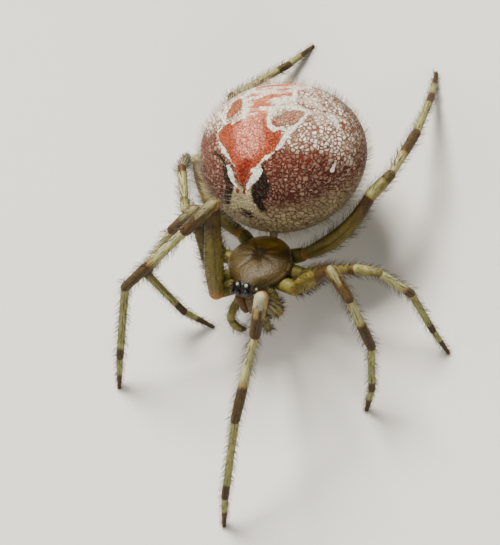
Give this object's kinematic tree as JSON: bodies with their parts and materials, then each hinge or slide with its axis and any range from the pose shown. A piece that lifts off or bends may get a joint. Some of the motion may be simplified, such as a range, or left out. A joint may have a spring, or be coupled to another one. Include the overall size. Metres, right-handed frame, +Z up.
{
  "type": "comb-footed spider model",
  "caption": "Life-size still model of a small comb-footed spider, standing on its toes with a round red-banded abdomen raised over a small glossy front body",
  "frame": {"origin": "middle of the underside of the bounding box, on the floor plane that the feet stand on", "axes": "+Z up, -Y the way the spider faces, +X its own left"},
  "size_m": [0.0052, 0.008, 0.0031],
  "materials": {
    "carapace": "glossy olive brown chitin",
    "leg": "satin straw yellow chitin with brown rings",
    "leg_dark": "satin dark brown chitin",
    "abdomen": "soft skin, red brown with a white-edged red band",
    "mouth": "glossy red brown chitin",
    "eye_pearl": "polished pearly lens",
    "eye_black": "polished black lens"
  },
  "bodies": {
    "root": {"carapace": "carapace", "sternum": "leg", "abdomen": "abdomen", "spinnerets": "abdomen", "chelicera_R": "mouth", "chelicera_L": "mouth", "palp_R": "leg", "palp_L": "leg", "eye_AM_R": "eye_black", "eye_AM_L": "eye_black", "eye_AL_R": "eye_pearl", "eye_AL_L": "eye_pearl", "eye_PM_R": "eye_pearl", "eye_PM_L": "eye_pearl", "eye_PL_R": "eye_pearl", "eye_PL_L": "eye_pearl", "leg_R1_femur": "leg", "leg_R1_patella": "leg", "leg_R1_tibia": "leg", "leg_R1_metatarsus": "leg", "leg_R1_tarsus": "leg_dark", "leg_R2_femur": "leg", "leg_R2_patella": "leg", "leg_R2_tibia": "leg", "leg_R2_metatarsus": "leg", "leg_R2_tarsus": "leg_dark", "leg_R3_femur": "leg", "leg_R3_patella": "leg", "leg_R3_tibia": "leg", "leg_R3_metatarsus": "leg", "leg_R3_tarsus": "leg_dark", "leg_R4_femur": "leg", "leg_R4_patella": "leg", "leg_R4_tibia": "leg", "leg_R4_metatarsus": "leg", "leg_R4_tarsus": "leg_dark", "leg_L1_femur": "leg", "leg_L1_patella": "leg", "leg_L1_tibia": "leg", "leg_L1_metatarsus": "leg", "leg_L1_tarsus": "leg_dark", "leg_L2_femur": "leg", "leg_L2_patella": "leg", "leg_L2_tibia": "leg", "leg_L2_metatarsus": "leg", "leg_L2_tarsus": "leg_dark", "leg_L3_femur": "leg", "leg_L3_patella": "leg", "leg_L3_tibia": "leg", "leg_L3_metatarsus": "leg", "leg_L3_tarsus": "leg_dark", "leg_L4_femur": "leg", "leg_L4_patella": "leg", "leg_L4_tibia": "leg", "leg_L4_metatarsus": "leg", "leg_L4_tarsus": "leg_dark"}
  },
  "joints": []
}
